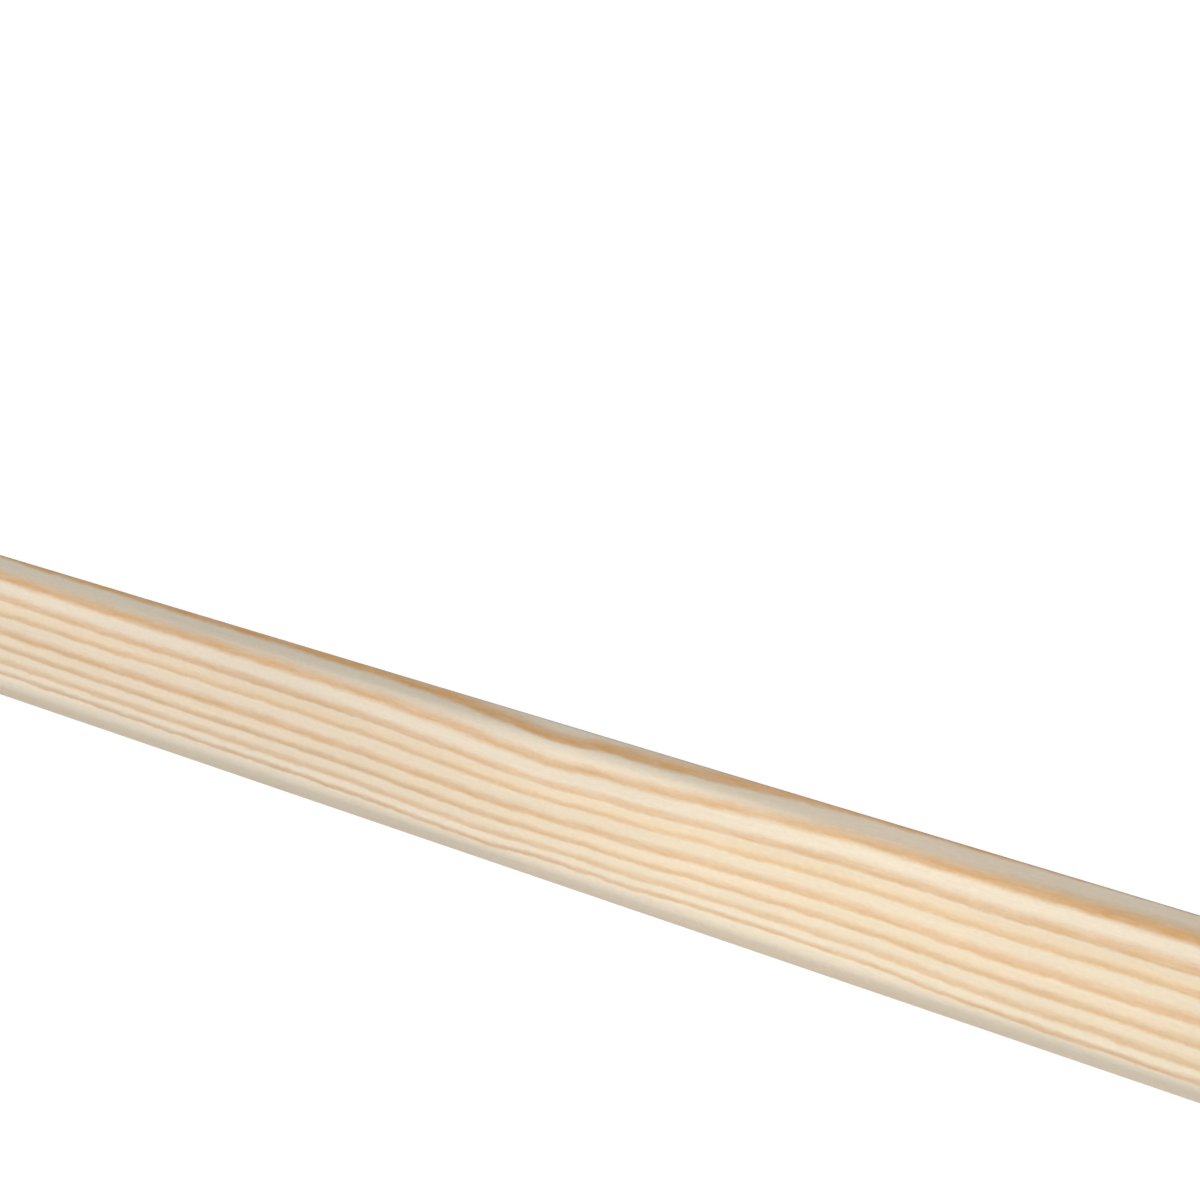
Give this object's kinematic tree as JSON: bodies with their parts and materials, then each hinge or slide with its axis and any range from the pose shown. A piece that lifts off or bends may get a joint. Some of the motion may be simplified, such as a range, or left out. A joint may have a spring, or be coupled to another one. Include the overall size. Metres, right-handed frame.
{
  "type": "cover strip",
  "caption": "Flat planed softwood strip with soft bevels along both front edges and a flat back, fixed over a joint or gap as trim.",
  "frame": {"origin": "middle of the flat back face, halfway along the strip", "axes": "+X along the grain and the length, +Y across the strip, +Z out of the bevelled show face"},
  "size_m": [0.9, 0.03, 0.004],
  "materials": {
    "pine": "planed smooth, bare"
  },
  "bodies": {
    "root": {"cover_strip": "pine"}
  },
  "joints": []
}
